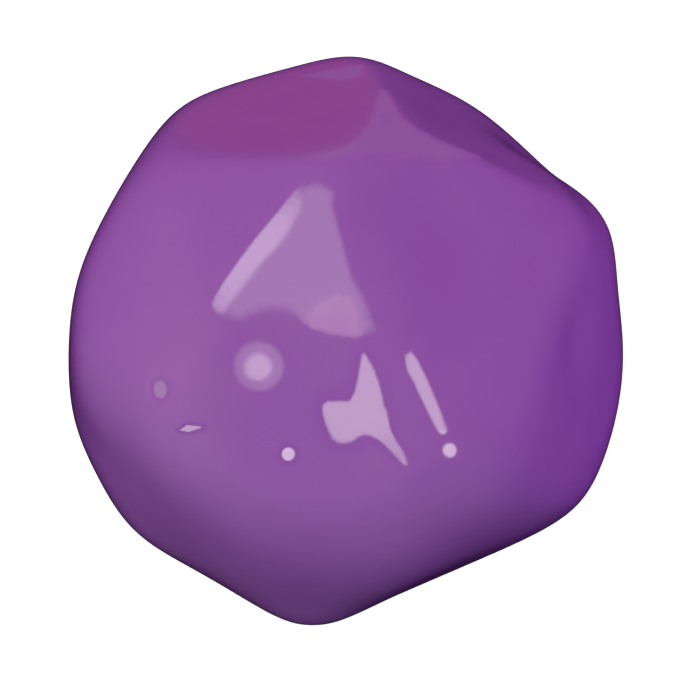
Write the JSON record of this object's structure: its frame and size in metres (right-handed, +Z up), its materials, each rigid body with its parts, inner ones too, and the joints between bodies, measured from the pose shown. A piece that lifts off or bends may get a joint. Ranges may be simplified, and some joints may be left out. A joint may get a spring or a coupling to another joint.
{
  "type": "playground rubber ball",
  "caption": "Slack glossy purple rubber play ball with a layered wall, a thread-wound bladder and a needle valve with a pull-out core.",
  "frame": {"origin": "centre of the flat that the ball rests on, straight under the ball's centre", "axes": "+Z up; -Y towards the front of the ball; the valve faces back and up, in the YZ plane"},
  "size_m": [0.2197, 0.2206, 0.2109],
  "materials": {
    "cover_rubber": "smooth high gloss",
    "ply_rubber": "matt calendered sheet",
    "nylon_thread": "wound thread in latex",
    "bladder_rubber": "matt, dusted with talc",
    "patch_rubber": "matt with a cloth print",
    "boot_rubber": "satin moulded",
    "core_rubber": "satin moulded"
  },
  "bodies": {
    "ball": {"outer_cover": "cover_rubber", "inner_ply": "ply_rubber", "nylon_winding": "nylon_thread", "butyl_bladder": "bladder_rubber", "bladder_patch": "patch_rubber", "valve_boot": "boot_rubber"},
    "valve_plug": {"valve_core": "core_rubber"}
  },
  "joints": [
    {"name": "valve_core_pull", "type": "slide", "parent": "ball", "child": "valve_plug", "axis": [0, 0.766, 0.6428], "range_m": [0, 0.024]}
  ]
}
